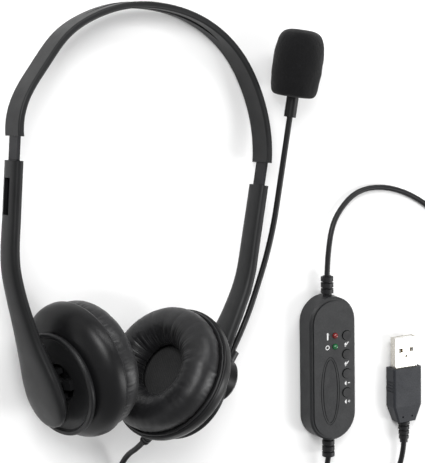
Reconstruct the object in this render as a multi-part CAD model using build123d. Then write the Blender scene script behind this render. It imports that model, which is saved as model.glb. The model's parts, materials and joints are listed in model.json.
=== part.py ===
import os
from math import cos, pi, radians, sin, tan

from build123d import *

# Office headset with a pivoting boom microphone, an in-line control box and a USB plug.
# Design frame, mm: +X is the ear axis towards the microphone side, +Y points to the back
# of the wearer's head and +Z to the crown. lay() puts the finished headset on its back.

# ---------------------------------------------------------------- driving dimensions
BAND_WIDTH = 12.5
BAND_THICK = 3.0
BAND_Y = 4.0
BAND_END_Z = 127.0
CROWN_Z = 191.0
SLOT_HALF_LENGTH = 37.0
SLOT_WIDTH = 4.6

STRIP_WIDTH = 7.0
STRIP_THICK = 1.6
STRIP_IN_BAND = 7.0
STRIP_REACH = 38.0
RUNNING_GAP = 0.08

ARM_TOP = Vector(65.3, 4.0, 116.5)
SLIDE_DIR = Vector(-0.06, 0.02, -1).normalized()
CHANNEL_DEPTH = 39.0

CUP_AT = Vector(23.5, 4.0, 28.0)
CUP_TILT = 20.0
CUP_SWIVEL = {"right": 14.0, "left": 8.0}
SHELL_R = 31.0
SHELL_T = 10.0
CUSHION_R = 29.4
EAR_HOLE_R = 11.5
CUSHION_DEPTH = 12.5
DISH_R = 23.6
DISH_DROP = 3.0
RIM_T = 13.2
PIVOT_T = 11.2

HUB_R = 10.5
HUB_RISE = 8.0
HUB_T = (24.2, 31.2)
BOOM_D = 2.7
FOAM_D = 24.0
FOAM_LENGTH = 31.0

LIE_PITCH = 7.45
LIE_ROLL = 5.6
CORD_D = 2.6
TABLE_GAP = 0.05

BOX_LENGTH = 70.0
BOX_WIDTH = 25.0
BOX_THICK = 11.5
BOX_AT = (120.6, 31.5)
PLUG_AT = (165.0, 34.0)
TABLE_TURN = 11.5

SIDES = {"right": 1, "left": -1}
nodes = {}


def put(name, shape):
    """Keep one finished piece, in the design frame, under its node name."""
    nodes[name] = shape


def ring(outer, inner, low, high):
    """Flat ring about local Z between two heights."""
    body = Pos(0, 0, low) * Cylinder(outer, high - low, align=BOTTOM)
    if inner > 0:
        body -= Pos(0, 0, low) * Cylinder(inner, high - low, align=BOTTOM)
    return body


def turned(*points):
    """Solid of revolution about local Z from (radius, height) corners."""
    profile = make_face(Polyline(*[(r, 0, z) for r, z in points], close=True))
    return revolve(profile, Axis.Z)


BOTTOM = (Align.CENTER, Align.CENTER, Align.MIN)


# ---------------------------------------------------------------- headband
BAND_SIDE = [(66.0, BAND_END_Z), (62.5, 146.0), (54.3, 163.0), (42.1, 177.0), (23.8, 187.2)]


def band_curve(offset):
    """Centre line of the band in the XZ plane, moved outwards by offset."""
    side = [Vector(x, BAND_Y, z) for x, z in BAND_SIDE]
    points = side + [Vector(0, BAND_Y, CROWN_Z)] + [Vector(-p.X, p.Y, p.Z) for p in side[::-1]]
    line = Spline(*points, tangents=[(0.04, 0, 1), (0.04, 0, -1)])
    if offset == 0:
        return line
    moved = []
    for index in range(13):
        spot = line @ (index / 12)
        along = line % (index / 12)
        moved.append(spot + along.cross(Vector(0, 1, 0)) * -offset)
    return Spline(*moved)


def band_body():
    outer = band_curve(BAND_THICK / 2)
    inner = band_curve(-BAND_THICK / 2)
    ends = [Line(outer @ 0, inner @ 0), Line(outer @ 1, inner @ 1)]
    face = make_face([outer, inner] + ends)
    body = extrude(face, amount=BAND_WIDTH / 2, dir=(0, 1, 0), both=True)
    return body


def crown_slot():
    """Lens-shaped cutter through the crown."""
    lens = make_face([
        ThreePointArc((-SLOT_HALF_LENGTH, 0), (0, SLOT_WIDTH / 2), (SLOT_HALF_LENGTH, 0)),
        ThreePointArc((-SLOT_HALF_LENGTH, 0), (0, -SLOT_WIDTH / 2), (SLOT_HALF_LENGTH, 0)),
    ])
    return Pos(0, BAND_Y, 160) * extrude(lens, amount=60)


def strip_plane(side):
    """Plane whose Z runs down the slider of one side, from the arm's mouth."""
    sign = SIDES[side]
    origin = Vector(ARM_TOP.X * sign, ARM_TOP.Y, ARM_TOP.Z)
    down = Vector(SLIDE_DIR.X * sign, SLIDE_DIR.Y, SLIDE_DIR.Z)
    depth = Vector(0, 1, 0)
    depth = (depth - down * depth.dot(down)).normalized()
    return Plane(origin=origin, x_dir=depth, z_dir=down)


def strip_box(side, width, thick, start, end):
    """Straight bar along the slider line, from start to end along it."""
    bar = Pos(0, 0, start) * Box(width, thick, end - start, align=BOTTOM)
    return strip_plane(side).location * bar


band_gap = BAND_END_Z - ARM_TOP.Z
band = band_body()
long_edges = band.edges().filter_by(lambda edge: edge.length > 60)
band = fillet(long_edges, 0.9) - crown_slot()
for side in SIDES:
    pocket = strip_box(side, STRIP_WIDTH, STRIP_THICK, -band_gap - STRIP_IN_BAND, -band_gap + 4)
    band -= pocket
put("headband", band)

strips = Part()
for side in SIDES:
    strip = strip_box(side, STRIP_WIDTH, STRIP_THICK, -band_gap - STRIP_IN_BAND, STRIP_REACH - band_gap)
    dimple = strip_box(side, 2.4, STRIP_THICK + 1, STRIP_REACH - band_gap - 9, STRIP_REACH - band_gap - 6)
    strips += strip - dimple
put("slider_strips", strips)


# ---------------------------------------------------------------- arms
def arm_frame(side):
    """Frame square to the arm's foot: Z points out of the ear side, Y up, origin at the cushion seat."""
    sign = SIDES[side]
    tilt = radians(CUP_TILT)
    out = Vector(sign * cos(tilt), 0, -sin(tilt))
    origin = Vector(sign * CUP_AT.X, CUP_AT.Y, CUP_AT.Z)
    return Plane(origin=origin, x_dir=Vector(0, 0, 1).cross(out), z_dir=out).location


def pivot_frame(side, swivel):
    """Frame at the centre of the joint between arm and cup, turned by the cup's swivel."""
    return arm_frame(side) * Pos(0, -DISH_DROP, PIVOT_T) * Rot(0, swivel, 0)


def cup_frame(side):
    """Frame of the swivelled cup, origin at the cushion seat."""
    return pivot_frame(side, CUP_SWIVEL[side]) * Pos(0, DISH_DROP, -PIVOT_T)


def arm_spot(out, rise):
    """Point of the right arm given by its height above the cup seat and along the cup."""
    tilt = radians(CUP_TILT)
    x = CUP_AT.X + out * cos(tilt) + rise * sin(tilt)
    return Vector(x, 5.0, CUP_AT.Z - out * sin(tilt) + rise * cos(tilt))


# Guide points of the arm's centre line, each with the width and thickness of its section.
ARM_GUIDE = [
    (ARM_TOP, 11.4, 5.6),
    (ARM_TOP + SLIDE_DIR * 13, 11.4, 5.6),
    (ARM_TOP + SLIDE_DIR * 26, 11.5, 5.6),
    (ARM_TOP + SLIDE_DIR * 39, 11.8, 5.7),
    (Vector(61.2, 5.0, 68.0), 12.4, 5.8),
    (Vector(57.4, 5.0, 57.0), 13.4, 5.9),
    (Vector(53.4, 5.0, 47.5), 15.2, 6.1),
    (arm_spot(20.8, 18), 18.4, 6.5),
    (arm_spot(20.0, 9), 22.8, 6.9),
    (arm_spot(19.3, 1), 27.0, 7.2),
    (arm_spot(18.8, -7), 28.4, 7.0),
    (arm_spot(18.3, -13), 25.6, 6.2),
    (arm_spot(17.9, -17.5), 19.6, 5.0),
    (arm_spot(17.8, -20.5), 10.0, 3.6),
]
COLLAR_STATION = 7


def station_planes():
    planes = []
    spots = [spot for spot, _, _ in ARM_GUIDE]
    for index, spot in enumerate(spots):
        before = spots[max(index - 1, 0)]
        after = spots[min(index + 1, len(spots) - 1)]
        along = (after - before).normalized()
        across = (Vector(0, 1, 0) - along * along.Y).normalized()
        planes.append(Plane(origin=spot, x_dir=across, z_dir=along))
    return planes


def half_section(width, thick, sign):
    """Crowned half of the arm's section, flat along the split line."""
    half = width / 2
    flat = half - 0.26 * thick
    shoulder = 0.41 * thick * sign
    bulge = (half - flat) * 0.72
    return make_face([
        ThreePointArc((-half, 0), (-flat - bulge, shoulder * 0.68), (-flat, shoulder)),
        ThreePointArc((-flat, shoulder), (0, thick / 2 * sign), (flat, shoulder)),
        ThreePointArc((flat, shoulder), (flat + bulge, shoulder * 0.68), (half, 0)),
        Line((half, 0), (-half, 0)),
    ])


def arm_half(sign):
    """Outer or inner half of the arm, from the mouth to the rounded end."""
    sections = []
    for plane, (_, width, thick) in zip(station_planes(), ARM_GUIDE):
        sections.append(plane.location * half_section(width, thick, sign))
    return loft(sections, ruled=True)


def outer_sign():
    """Side of the section plane that faces away from the head on the right arm."""
    plane = station_planes()[0]
    return 1 if plane.y_dir.X > 0 else -1


def arm_channel(extra):
    width = STRIP_WIDTH + 2 * extra
    thick = STRIP_THICK + 2 * extra
    return strip_box("right", width, thick, -1, CHANNEL_DEPTH)


OUT = outer_sign()
channel = arm_channel(RUNNING_GAP)
arm_cover = arm_half(OUT) - channel
arm_inner = arm_half(-OUT) - channel
collar = station_planes()[COLLAR_STATION]
arm_liner = split(arm_inner, bisect_by=collar, keep=Keep.BOTTOM)
arm_foot = split(arm_inner, bisect_by=collar, keep=Keep.TOP)
window = strip_plane("right").location * (Pos(0.6, 0, 7.5) * Box(4.6, 12, 16, align=BOTTOM))
arm_cover -= window
arm_liner -= window

# ---------------------------------------------------------------- pivot block between arm and cup
# A cross with one pair of pins in the arm's lugs and the other in the cup's yoke.
CROSS_R = 1.3
CROSS_HALF = 6.0
KNOB_R = 2.9
LUG_FROM = 4.6
LUG_TO = 7.0
LUG_HALF = 2.2
WELL_R = 9.4


def pivot_block():
    cross = Rot(0, 90, 0) * Cylinder(CROSS_R, 2 * CROSS_HALF)
    upright = Rot(90, 0, 0) * Cylinder(CROSS_R, 2 * CROSS_HALF)
    return Sphere(KNOB_R) + cross + upright


def foot_lugs():
    """Two lugs under the arm's foot, bored for the upright pin, in the pivot's frame."""
    height = 16.8 - PIVOT_T
    lugs = Part()
    for end in (1, -1):
        lug = Pos(0, end * (LUG_FROM + LUG_TO) / 2, -1.9) * Box(
            2 * LUG_HALF, LUG_TO - LUG_FROM, height + 1.9, align=BOTTOM)
        lugs += lug
    return lugs - Rot(90, 0, 0) * Cylinder(CROSS_R + 0.05, 2 * CROSS_HALF + 0.4)


def mirrored(shape):
    return mirror(shape, about=Plane.YZ)


foot_pocket = pivot_frame("right", 0) * (Cylinder(WELL_R, 16.8 - PIVOT_T, align=BOTTOM))
arm_foot = arm_foot - foot_pocket + pivot_frame("right", 0) * foot_lugs()
for name, shape in [("arm_cover", arm_cover), ("arm_liner", arm_liner), ("arm_foot", arm_foot)]:
    put(f"{name}_right", shape)
    put(f"{name}_left", mirrored(shape))


# ---------------------------------------------------------------- cups
def cup_shell():
    """Domed housing, open towards the ear, with a rolled rim."""
    outer = make_face([
        Polyline((0, 0, SHELL_T), (16.0, 0, SHELL_T)),
        TangentArc((16.0, 0, SHELL_T), (SHELL_R, 0, -0.6), tangent=(1, 0, 0)),
        Polyline((SHELL_R, 0, -0.6), (SHELL_R - 0.5, 0, -1.6), (0, 0, -1.6), (0, 0, SHELL_T)),
    ])
    inner = make_face([
        Polyline((0, 0, SHELL_T - 1.8), (15.0, 0, SHELL_T - 1.8)),
        TangentArc((15.0, 0, SHELL_T - 1.8), (SHELL_R - 2.0, 0, -0.6), tangent=(1, 0, 0)),
        Polyline((SHELL_R - 2.0, 0, -0.6), (SHELL_R - 2.0, 0, -2), (0, 0, -2), (0, 0, SHELL_T - 1.8)),
    ])
    well = Pos(0, -DISH_DROP, 0) * Cylinder(WELL_R + 0.9, 20, align=BOTTOM)
    return revolve(outer, Axis.Z) - revolve(inner, Axis.Z) - well


def dish():
    """Round cap with a raised rim that the arm's foot sits in, and the yoke for the pivot."""
    floor = SHELL_T
    body = turned((0, floor), (19.5, floor), (DISH_R - 0.8, floor + 0.6), (DISH_R, RIM_T - 1.0),
                  (DISH_R - 0.5, RIM_T), (DISH_R - 1.9, RIM_T), (20.6, floor + 1.9), (9.0, floor + 1.0),
                  (0, floor + 1.0))
    body += ring(WELL_R + 0.9, 0, 5.6, floor + 0.5)
    body -= ring(WELL_R - 0.2, 0, 6.6, floor + 9)
    for end in (1, -1):
        body += Pos(end * (LUG_FROM + WELL_R) / 2, 0, 6.0) * Box(
            WELL_R - LUG_FROM, 2 * LUG_HALF, PIVOT_T + 1.8 - 6.0, align=BOTTOM)
    return body - Pos(0, 0, PIVOT_T) * (Rot(0, 90, 0) * Cylinder(CROSS_R + 0.05, 2 * CROSS_HALF + 0.4))


def cushion():
    """Ring cushion with rounded edges, seated on the baffle."""
    low = -1.9 - CUSHION_DEPTH
    face = make_face([
        Polyline((CUSHION_R - 2.4, 0, -1.9), (EAR_HOLE_R + 3.0, 0, -1.9)),
        ThreePointArc((EAR_HOLE_R + 3.0, 0, -1.9), (EAR_HOLE_R, 0, -6.4), (EAR_HOLE_R + 3.6, 0, low + 2.4)),
        ThreePointArc((EAR_HOLE_R + 3.6, 0, low + 2.4), (20.2, 0, low), (CUSHION_R - 3.2, 0, low + 2.6)),
        ThreePointArc((CUSHION_R - 3.2, 0, low + 2.6), (CUSHION_R, 0, -6.8), (CUSHION_R - 2.4, 0, -1.9)),
    ])
    return revolve(face, Axis.Z)


def baffle():
    """Driver plate with a ring of sound holes."""
    plate = ring(SHELL_R - 2.1, 0, -1.8, -0.6)
    for index in range(6):
        turn = Rot(0, 0, 60 * index)
        plate -= turn * (Pos(6.2, 0, -2) * Cylinder(1.1, 3, align=BOTTOM))
    for index in range(3):
        turn = Rot(0, 0, 120 * index + 30)
        plate -= turn * (Pos(19.0, 0, -2) * Cylinder(0.75, 3, align=BOTTOM))
        plate -= turn * (Pos(19.0, 0, -2) * Cylinder(1.5, 0.9, align=BOTTOM))
    return plate


def driver():
    """Frame, magnet and diaphragm of the loudspeaker behind the baffle."""
    frame = ring(14.0, 12.6, -0.6, 1.6) + ring(14.0, 8.2, 1.6, 2.4)
    magnet = ring(8.0, 0, 1.7, 5.2)
    cone = turned((0, 0.9), (5.0, 0.9), (9.0, 0.1), (12.4, 0.5), (12.4, 0.7), (9.0, 0.3), (5.0, 1.1), (0, 1.1))
    return frame, magnet, cone


def speaker_screws():
    group = Part()
    for index in range(3):
        turn = Rot(0, 0, 120 * index + 30)
        shank = Pos(19.0, 0, -1.1) * Cylinder(0.7, 3.9, align=BOTTOM)
        head = Pos(19.0, 0, -1.8) * Cylinder(1.5, 0.7, align=BOTTOM)
        group += turn * (shank + head)
    return group


shell = cup_shell()
cap = dish()
pad = cushion()
frame_part, magnet_part, cone_part = driver()
CUP_PIECES = [
    ("cup_shell", shell), ("cup_dish", Pos(0, -DISH_DROP, 0) * cap), ("ear_cushion", pad),
    ("driver_plate", baffle()), ("driver_frame", frame_part), ("driver_magnet", magnet_part),
    ("driver_diaphragm", cone_part), ("ear_cloth", ring(EAR_HOLE_R + 1.5, 0, -2.2, -1.9)),
]
for side in SIDES:
    place = cup_frame(side)
    for name, shape in CUP_PIECES:
        put(f"{name}_{side}", place * shape)
    put(f"pivot_block_{side}", pivot_frame(side, CUP_SWIVEL[side]) * pivot_block())

for name, shape in [("cup_screws_right", speaker_screws()), ("cup_screws_left", speaker_screws())]:
    put(name, cup_frame(name.split("_")[-1]) * shape)

GLAND_DIR = Vector(0.15, 0.86, -0.48).normalized()
GLAND_LENGTH = 8.0


def gland_frame():
    """Frame at the root of the cable gland under the shell, Z along the cable."""
    root = (cup_frame("right") * Pos(1.5, -28.4, 3.6)).position
    return Plane(origin=root, x_dir=Vector(1, 0, 0).cross(GLAND_DIR), z_dir=GLAND_DIR).location


def gland():
    """Short ribbed strain relief at the bottom of the microphone-side shell."""
    body = Cylinder(1.7, GLAND_LENGTH, align=BOTTOM)
    for index in range(3):
        body += Pos(0, 0, 1.0 + 2.2 * index) * Cylinder(2.25, 1.4, align=BOTTOM)
    return body


put("cable_gland", gland_frame() * gland())
nodes["cup_shell_right"] = nodes["cup_shell_right"] - nodes["cable_gland"]


# ---------------------------------------------------------------- boom microphone
HUB_PIN_R = 2.6
BOOM_ROUTE = [(0, 14.0, 28.2), (-0.5, 40.0, 29.6), (-4.8, 76.0, 23.6), (-11.5, 133.5, 2.4)]


def boom_line():
    """Boom centre line in the arm frame, gently curved towards the mouth end."""
    points = [Vector(*point) for point in BOOM_ROUTE]
    radii = corner_radii(points)
    return FilletPolyline(*points, radius=radii)


def corner_radii(points):
    """Largest fair radius at each inner corner of a route."""
    radii = []
    for before, here, after in zip(points, points[1:], points[2:]):
        run_in = here - before
        run_out = after - here
        turn = radians(run_in.get_angle(run_out))
        radii.append(0.45 * min(run_in.length, run_out.length) / tan(turn / 2))
    return radii


def tube_along(line, diameter):
    start = Plane(origin=line @ 0, z_dir=line % 0)
    return sweep(start.location * Circle(diameter / 2), path=line)


hub_at = arm_frame("right") * Pos(0, HUB_RISE, 0)
hub_boss = ring(7.2, 0, 21.6, HUB_T[0] - 0.2)
hub_bore = ring(HUB_PIN_R + 0.05, 0, 18.9, HUB_T[0])
nodes["arm_cover_right"] = nodes["arm_cover_right"] + hub_at * hub_boss - hub_at * hub_bore
nodes["arm_foot_right"] = nodes["arm_foot_right"] - hub_at * hub_bore

hub = turned((0, HUB_T[0]), (HUB_R, HUB_T[0]), (HUB_R, HUB_T[1] - 1.6), (HUB_R - 1.6, HUB_T[1]), (0, HUB_T[1]))
hub += Pos(0, 8.6, 28.2) * (Rot(-82, 0, 0) * Cylinder(3.0, 6.5, align=BOTTOM))
hub += ring(HUB_PIN_R, 0, 19.4, HUB_T[0])
hub += ring(7.5, 0, HUB_T[1] - 0.9, HUB_T[1] + 0.3)
hub -= ring(0.9, 0, 19.0, HUB_T[1] - 1.2)
boom = boom_line()
boom_tube = arm_frame("right") * tube_along(boom, BOOM_D)
put("boom_hub", hub_at * hub - boom_tube)
hub_screw = ring(0.85, 0, 20.0, HUB_T[1] - 2.4) + ring(1.9, 0, HUB_T[1] - 2.4, HUB_T[1] - 1.2)
nodes["boom_hub"] = nodes["boom_hub"] - hub_at * ring(2.0, 0, HUB_T[1] - 2.4, HUB_T[1] - 1.1)
put("boom_hub_screw", hub_at * hub_screw)
put("boom_tube", boom_tube)

mic_frame = arm_frame("right") * Plane(origin=boom @ 1, x_dir=(1, 0, 0), z_dir=boom % 1).location
NECK = 7.0
collar = Pos(0, 0, -4.0) * Cylinder(2.8, NECK + 4.0, align=BOTTOM) - Pos(0, 0, -5) * Cylinder(BOOM_D / 2, 5, align=BOTTOM)
put("mic_neck", mic_frame * collar)
cage = ring(5.4, 4.9, NECK, NECK + 15.0) + ring(5.4, 0, NECK, NECK + 1.4)
cage -= Pos(0, 0, NECK + 9) * Box(3.0, 20, 6)
cage -= Pos(0, 0, NECK + 9) * Box(20, 3.0, 6)
put("mic_cage", mic_frame * cage)
put("mic_capsule", mic_frame * ring(4.85, 0, NECK + 10.0, NECK + 14.5))
foam_face = make_face([
    Polyline((0, 0, 0), (FOAM_D / 2 - 3.4, 0, 0)),
    ThreePointArc((FOAM_D / 2 - 3.4, 0, 0), (FOAM_D / 2 - 1.6, 0, 1.0), (FOAM_D / 2 - 0.8, 0, 3.6)),
    ThreePointArc((FOAM_D / 2 - 0.8, 0, 3.6), (FOAM_D / 2, 0, 15.0), (FOAM_D / 2 - 1.2, 0, 24.0)),
    ThreePointArc((FOAM_D / 2 - 1.2, 0, 24.0), (FOAM_D / 2 - 4.2, 0, 29.2), (3.4, 0, FOAM_LENGTH)),
    Polyline((3.4, 0, FOAM_LENGTH), (0, 0, FOAM_LENGTH), (0, 0, 0)),
])
foam = Pos(0, 0, NECK - 1.6) * revolve(foam_face, Axis.Z)
foam -= ring(5.5, 0, NECK, NECK + 15.2)
foam -= ring(2.9, 0, 0, NECK + 1)
put("windscreen", mic_frame * foam)

headset_nodes = list(nodes)


def lay(shape):
    return Rot(0, LIE_ROLL, 0) * (Rot(-90 - LIE_PITCH, 0, 0) * shape)


for name in headset_nodes:
    nodes[name] = lay(nodes[name])
lows = {name: nodes[name].bounding_box().min.Z for name in headset_nodes}
floor_z = min(lows.values())
for name in headset_nodes:
    nodes[name] = Pos(0, 0, -floor_z) * nodes[name]

# ---------------------------------------------------------------- in-line control box
# Local frame: +Y towards the cup end of the box, Z up from the table, origin under its middle.
BUTTON_X = 7.1
BUTTON_R = 2.25
BUTTON_Y = [15.8, 6.6, -2.9, -12.3]
LED_AT = {"red": (0.8, 16.4), "green": (0.8, 11.0)}
SPLIT_Z = 5.4
TOP_Z = BOX_THICK - 0.6
WALL = 1.3
PLATE_AT = (-2.0, -10.5)
PLATE_SIZE = (10.4, 33.5)
BOOT_R = 3.0
BOOT_LENGTH = 9.5


def stadium(width, length, low, high):
    """Upright slab with fully rounded ends, long side along Y."""
    return Pos(0, 0, low) * extrude(Rot(0, 0, 90) * SlotOverall(length, width), amount=high - low)


def box_boot():
    """Ribbed strain relief with its neck in the case, Z pointing away from the case."""
    body = Cylinder(BOOT_R - 0.9, BOOT_LENGTH, align=BOTTOM)
    for index in range(3):
        body += Pos(0, 0, 1.3 + 2.9 * index) * Cylinder(BOOT_R, 2.0, align=BOTTOM)
    return body + Pos(0, 0, -2.6) * Cylinder(BOOT_R - 0.9, 2.6, align=BOTTOM)


def box_parts():
    back = stadium(BOX_WIDTH, BOX_LENGTH, 0, SPLIT_Z)
    back = chamfer(back.faces().sort_by(Axis.Z)[0].edges(), 1.0)
    back -= stadium(BOX_WIDTH - 2 * WALL, BOX_LENGTH - 2 * WALL, WALL, SPLIT_Z + 1)
    front = stadium(BOX_WIDTH, BOX_LENGTH, SPLIT_Z, TOP_Z)
    front = chamfer(front.faces().sort_by(Axis.Z)[-1].edges(), 0.9)
    front += stadium(BOX_WIDTH - 3.4, BOX_LENGTH - 3.4, TOP_Z - 0.5, BOX_THICK)
    front -= stadium(BOX_WIDTH - 2 * WALL, BOX_LENGTH - 2 * WALL, SPLIT_Z - 1, TOP_Z - WALL)
    for y in BUTTON_Y:
        front -= Pos(BUTTON_X, y, 0) * Cylinder(BUTTON_R + 0.25, 20, align=BOTTOM)
    for x, y in LED_AT.values():
        front -= Pos(x, y, 0) * Cylinder(1.45, 20, align=BOTTOM)
    front -= Pos(*PLATE_AT, BOX_THICK - 0.5) * extrude(Ellipse(PLATE_SIZE[0] / 2, PLATE_SIZE[1] / 2), amount=1)
    neck = Pos(0, 0, BOX_THICK / 2) * (Rot(90, 0, 0) * Cylinder(BOOT_R - 0.9, BOX_LENGTH + 10))
    return back - neck, front - neck


def box_screws():
    group = Part()
    for y in (24.0, -24.0):
        group += Pos(0, y, 0.3) * Cylinder(1.6, 0.8, align=BOTTOM) + Pos(0, y, 1.1) * Cylinder(0.8, 6.0, align=BOTTOM)
    return group


def screw_posts():
    """Hollow posts of the front half that the two screws run into."""
    posts = Part()
    for y in (24.0, -24.0):
        posts += Pos(0, y, 3.0) * Cylinder(1.9, TOP_Z - WALL - 3.0, align=BOTTOM)
    return posts


def oval_plate():
    outer = Ellipse(PLATE_SIZE[0] / 2 - 0.3, PLATE_SIZE[1] / 2 - 0.3)
    middle = Ellipse(PLATE_SIZE[0] / 2 - 1.1, PLATE_SIZE[1] / 2 - 1.1)
    inner = Ellipse(PLATE_SIZE[0] / 2 - 1.6, PLATE_SIZE[1] / 2 - 1.6)
    plate = extrude(outer, amount=0.5) - Pos(0, 0, 0.2) * extrude(middle - inner, amount=1)
    return Pos(*PLATE_AT, BOX_THICK - 0.5) * plate


back, front = box_parts()
screws = box_screws()
front = front + screw_posts() - screws
back = back - Pos(0, 24.0, 0) * Cylinder(1.95, 9, align=BOTTOM) - Pos(0, -24.0, 0) * Cylinder(1.95, 9, align=BOTTOM)
sockets = Part()
for y in (24.0, -24.0):
    sockets += Pos(0, y, 1.1) * Cylinder(3.2, 1.6, align=BOTTOM) - Pos(0, y, 0) * Cylinder(0.85, 9, align=BOTTOM)
back = back + sockets
board = Pos(0, 0, 3.6) * (extrude(Rot(0, 0, 90) * SlotOverall(44.0, 18.0), amount=1.0))
board -= Pos(0, 24.0, 0) * Cylinder(2.4, 9, align=BOTTOM) + Pos(0, -24.0, 0) * Cylinder(2.4, 9, align=BOTTOM)
chip = Pos(-3.5, -8.0, 4.6) * Box(5.0, 5.0, 0.9, align=BOTTOM)
switches = Part()
buttons = []
for y in BUTTON_Y:
    switches += Pos(BUTTON_X, y, 4.6) * Box(3.6, 3.6, 2.0, align=BOTTOM)
    button = Pos(BUTTON_X, y, 7.1) * Cylinder(BUTTON_R, BOX_THICK + 0.5 - 7.1, align=BOTTOM)
    buttons.append(button + Pos(BUTTON_X, y, 7.1) * Cylinder(2.9, 0.8, align=BOTTOM))

BOX_NODES = [("case_back", back), ("case_front", front), ("case_screws", screws), ("oval_plate", oval_plate()),
             ("control_board", board), ("board_components", chip + switches)]
for index, button in enumerate(buttons):
    BOX_NODES.append((f"button_{index + 1}", button))
for colour, (x, y) in LED_AT.items():
    led = Pos(x, y, 4.6) * Cylinder(1.4, BOX_THICK - 4.6, align=BOTTOM) + Pos(x, y, BOX_THICK) * Sphere(1.4)
    led -= Pos(x, y, 0) * Box(9, 9, 4.6, align=BOTTOM)
    BOX_NODES.append((f"led_{colour}", led))
box_at = Pos(BOX_AT[0], BOX_AT[1], 0) * Rot(0, 0, TABLE_TURN)
boots = Part()
for end in (1, -1):
    boots += Pos(0, end * BOX_LENGTH / 2, BOX_THICK / 2) * (Rot(-90 * end, 0, 0) * box_boot())
BOX_NODES.append(("case_boots", boots))
for name, shape in BOX_NODES:
    put(name, box_at * shape)

# ---------------------------------------------------------------- USB plug
# Local frame: +Y towards the metal nose, Z up from the table, origin under the nose root.
SHELL_W = 12.0
SHELL_H = 4.5
NOSE = 15.0
MOULD_L = 27.0
MOULD_W = 16.0
MOULD_H = 8.0
STRAIGHT = 19.0
PLUG_BOOT = 11.0


def plug_shell():
    """Folded metal shell with latch windows on both faces."""
    outer = Box(SHELL_W, NOSE + 6, SHELL_H, align=(Align.CENTER, Align.MIN, Align.CENTER))
    inner = Box(SHELL_W - 0.6, NOSE + 8, SHELL_H - 0.6, align=(Align.CENTER, Align.MIN, Align.CENTER))
    body = Pos(0, -6, 0) * (outer - Pos(0, -1, 0) * inner)
    for x in (3.0, -3.0):
        body -= Pos(x, NOSE - 6.2, 0) * Box(2.3, 2.2, 9)
    body -= Pos(0, NOSE - 9.2, 2) * Cylinder(0.7, 3)
    return body


def plug_mould():
    body = Box(MOULD_W, STRAIGHT, MOULD_H, align=(Align.CENTER, Align.MAX, Align.CENTER))
    taper = loft([
        Plane(origin=(0, -STRAIGHT, 0), x_dir=(1, 0, 0), z_dir=(0, -1, 0)).location * RectangleRounded(MOULD_W, MOULD_H, 1.2),
        Plane(origin=(0, -MOULD_L, 0), x_dir=(1, 0, 0), z_dir=(0, -1, 0)).location * RectangleRounded(10.2, 6.6, 1.0),
    ])
    body = fillet(body.edges().filter_by(Axis.Y), 1.2) + taper
    for index in range(4):
        for x in (MOULD_W / 2, -MOULD_W / 2):
            body -= Pos(x, -6.6 - 1.5 * index, 0) * Box(0.7, 0.7, MOULD_H)
    body -= Pos(0, -1, 0) * Box(SHELL_W, 10, SHELL_H)
    for x in (2.6, -2.6):
        body -= Pos(x, -MOULD_L + 2.6, MOULD_H / 2) * Cylinder(0.5, 2.4)
    return body


def plug_boot():
    body = Cylinder(1.9, PLUG_BOOT, align=BOTTOM)
    for index in range(4):
        body += Pos(0, 0, 0.4 + 2.4 * index) * Cylinder(2.9 - 0.15 * index, 1.5, align=BOTTOM)
    return body


plug_at = Pos(PLUG_AT[0], PLUG_AT[1], MOULD_H / 2) * Rot(0, 0, TABLE_TURN)
contacts = Part()
for x in (3.5, 1.0, -1.0, -3.5):
    contacts += Pos(x, NOSE - 0.9, -0.1) * Box(1.0, 8.0, 0.2, align=(Align.CENTER, Align.MAX, Align.MAX))
tongue = Pos(0, -3.0, -1.95) * Box(SHELL_W - 0.8, NOSE + 2.6, 1.85, align=(Align.CENTER, Align.MIN, Align.MIN))
mould_fill = Pos(0, -6.0, 0) * Box(SHELL_W - 0.6, 3.0, SHELL_H - 0.6, align=(Align.CENTER, Align.MIN, Align.CENTER))
PLUG_NODES = [
    ("plug_shell", plug_shell()), ("plug_mould", plug_mould() + mould_fill), ("plug_tongue", tongue - contacts),
    ("plug_contacts", contacts), ("plug_boot", Pos(0, -MOULD_L, 0) * (Rot(90, 0, 0) * plug_boot())),
]
for name, shape in PLUG_NODES:
    put(name, plug_at * shape)

# ---------------------------------------------------------------- cords
# Routes on the table, points chosen by hand, in the frame of the laid headset.
lay_place = Pos(0, 0, -floor_z) * Rot(0, LIE_ROLL, 0) * Rot(-90 - LIE_PITCH, 0, 0)
gland_mouth = (lay_place * gland_frame() * Pos(0, 0, GLAND_LENGTH)).position
box_in = (box_at * Pos(0, BOX_LENGTH / 2 + BOOT_LENGTH, BOX_THICK / 2)).position
box_out = (box_at * Pos(0, -BOX_LENGTH / 2 - BOOT_LENGTH, BOX_THICK / 2)).position
plug_end = (plug_at * Pos(0, -MOULD_L - PLUG_BOOT, 0)).position
COIL_A_AT = (30.0, -50.0)
COIL_B_AT = (148.5, -50.0)
COIL_R = 14.3
COIL_HALF = 4.3
COIL_HEIGHT = 8.4

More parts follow.
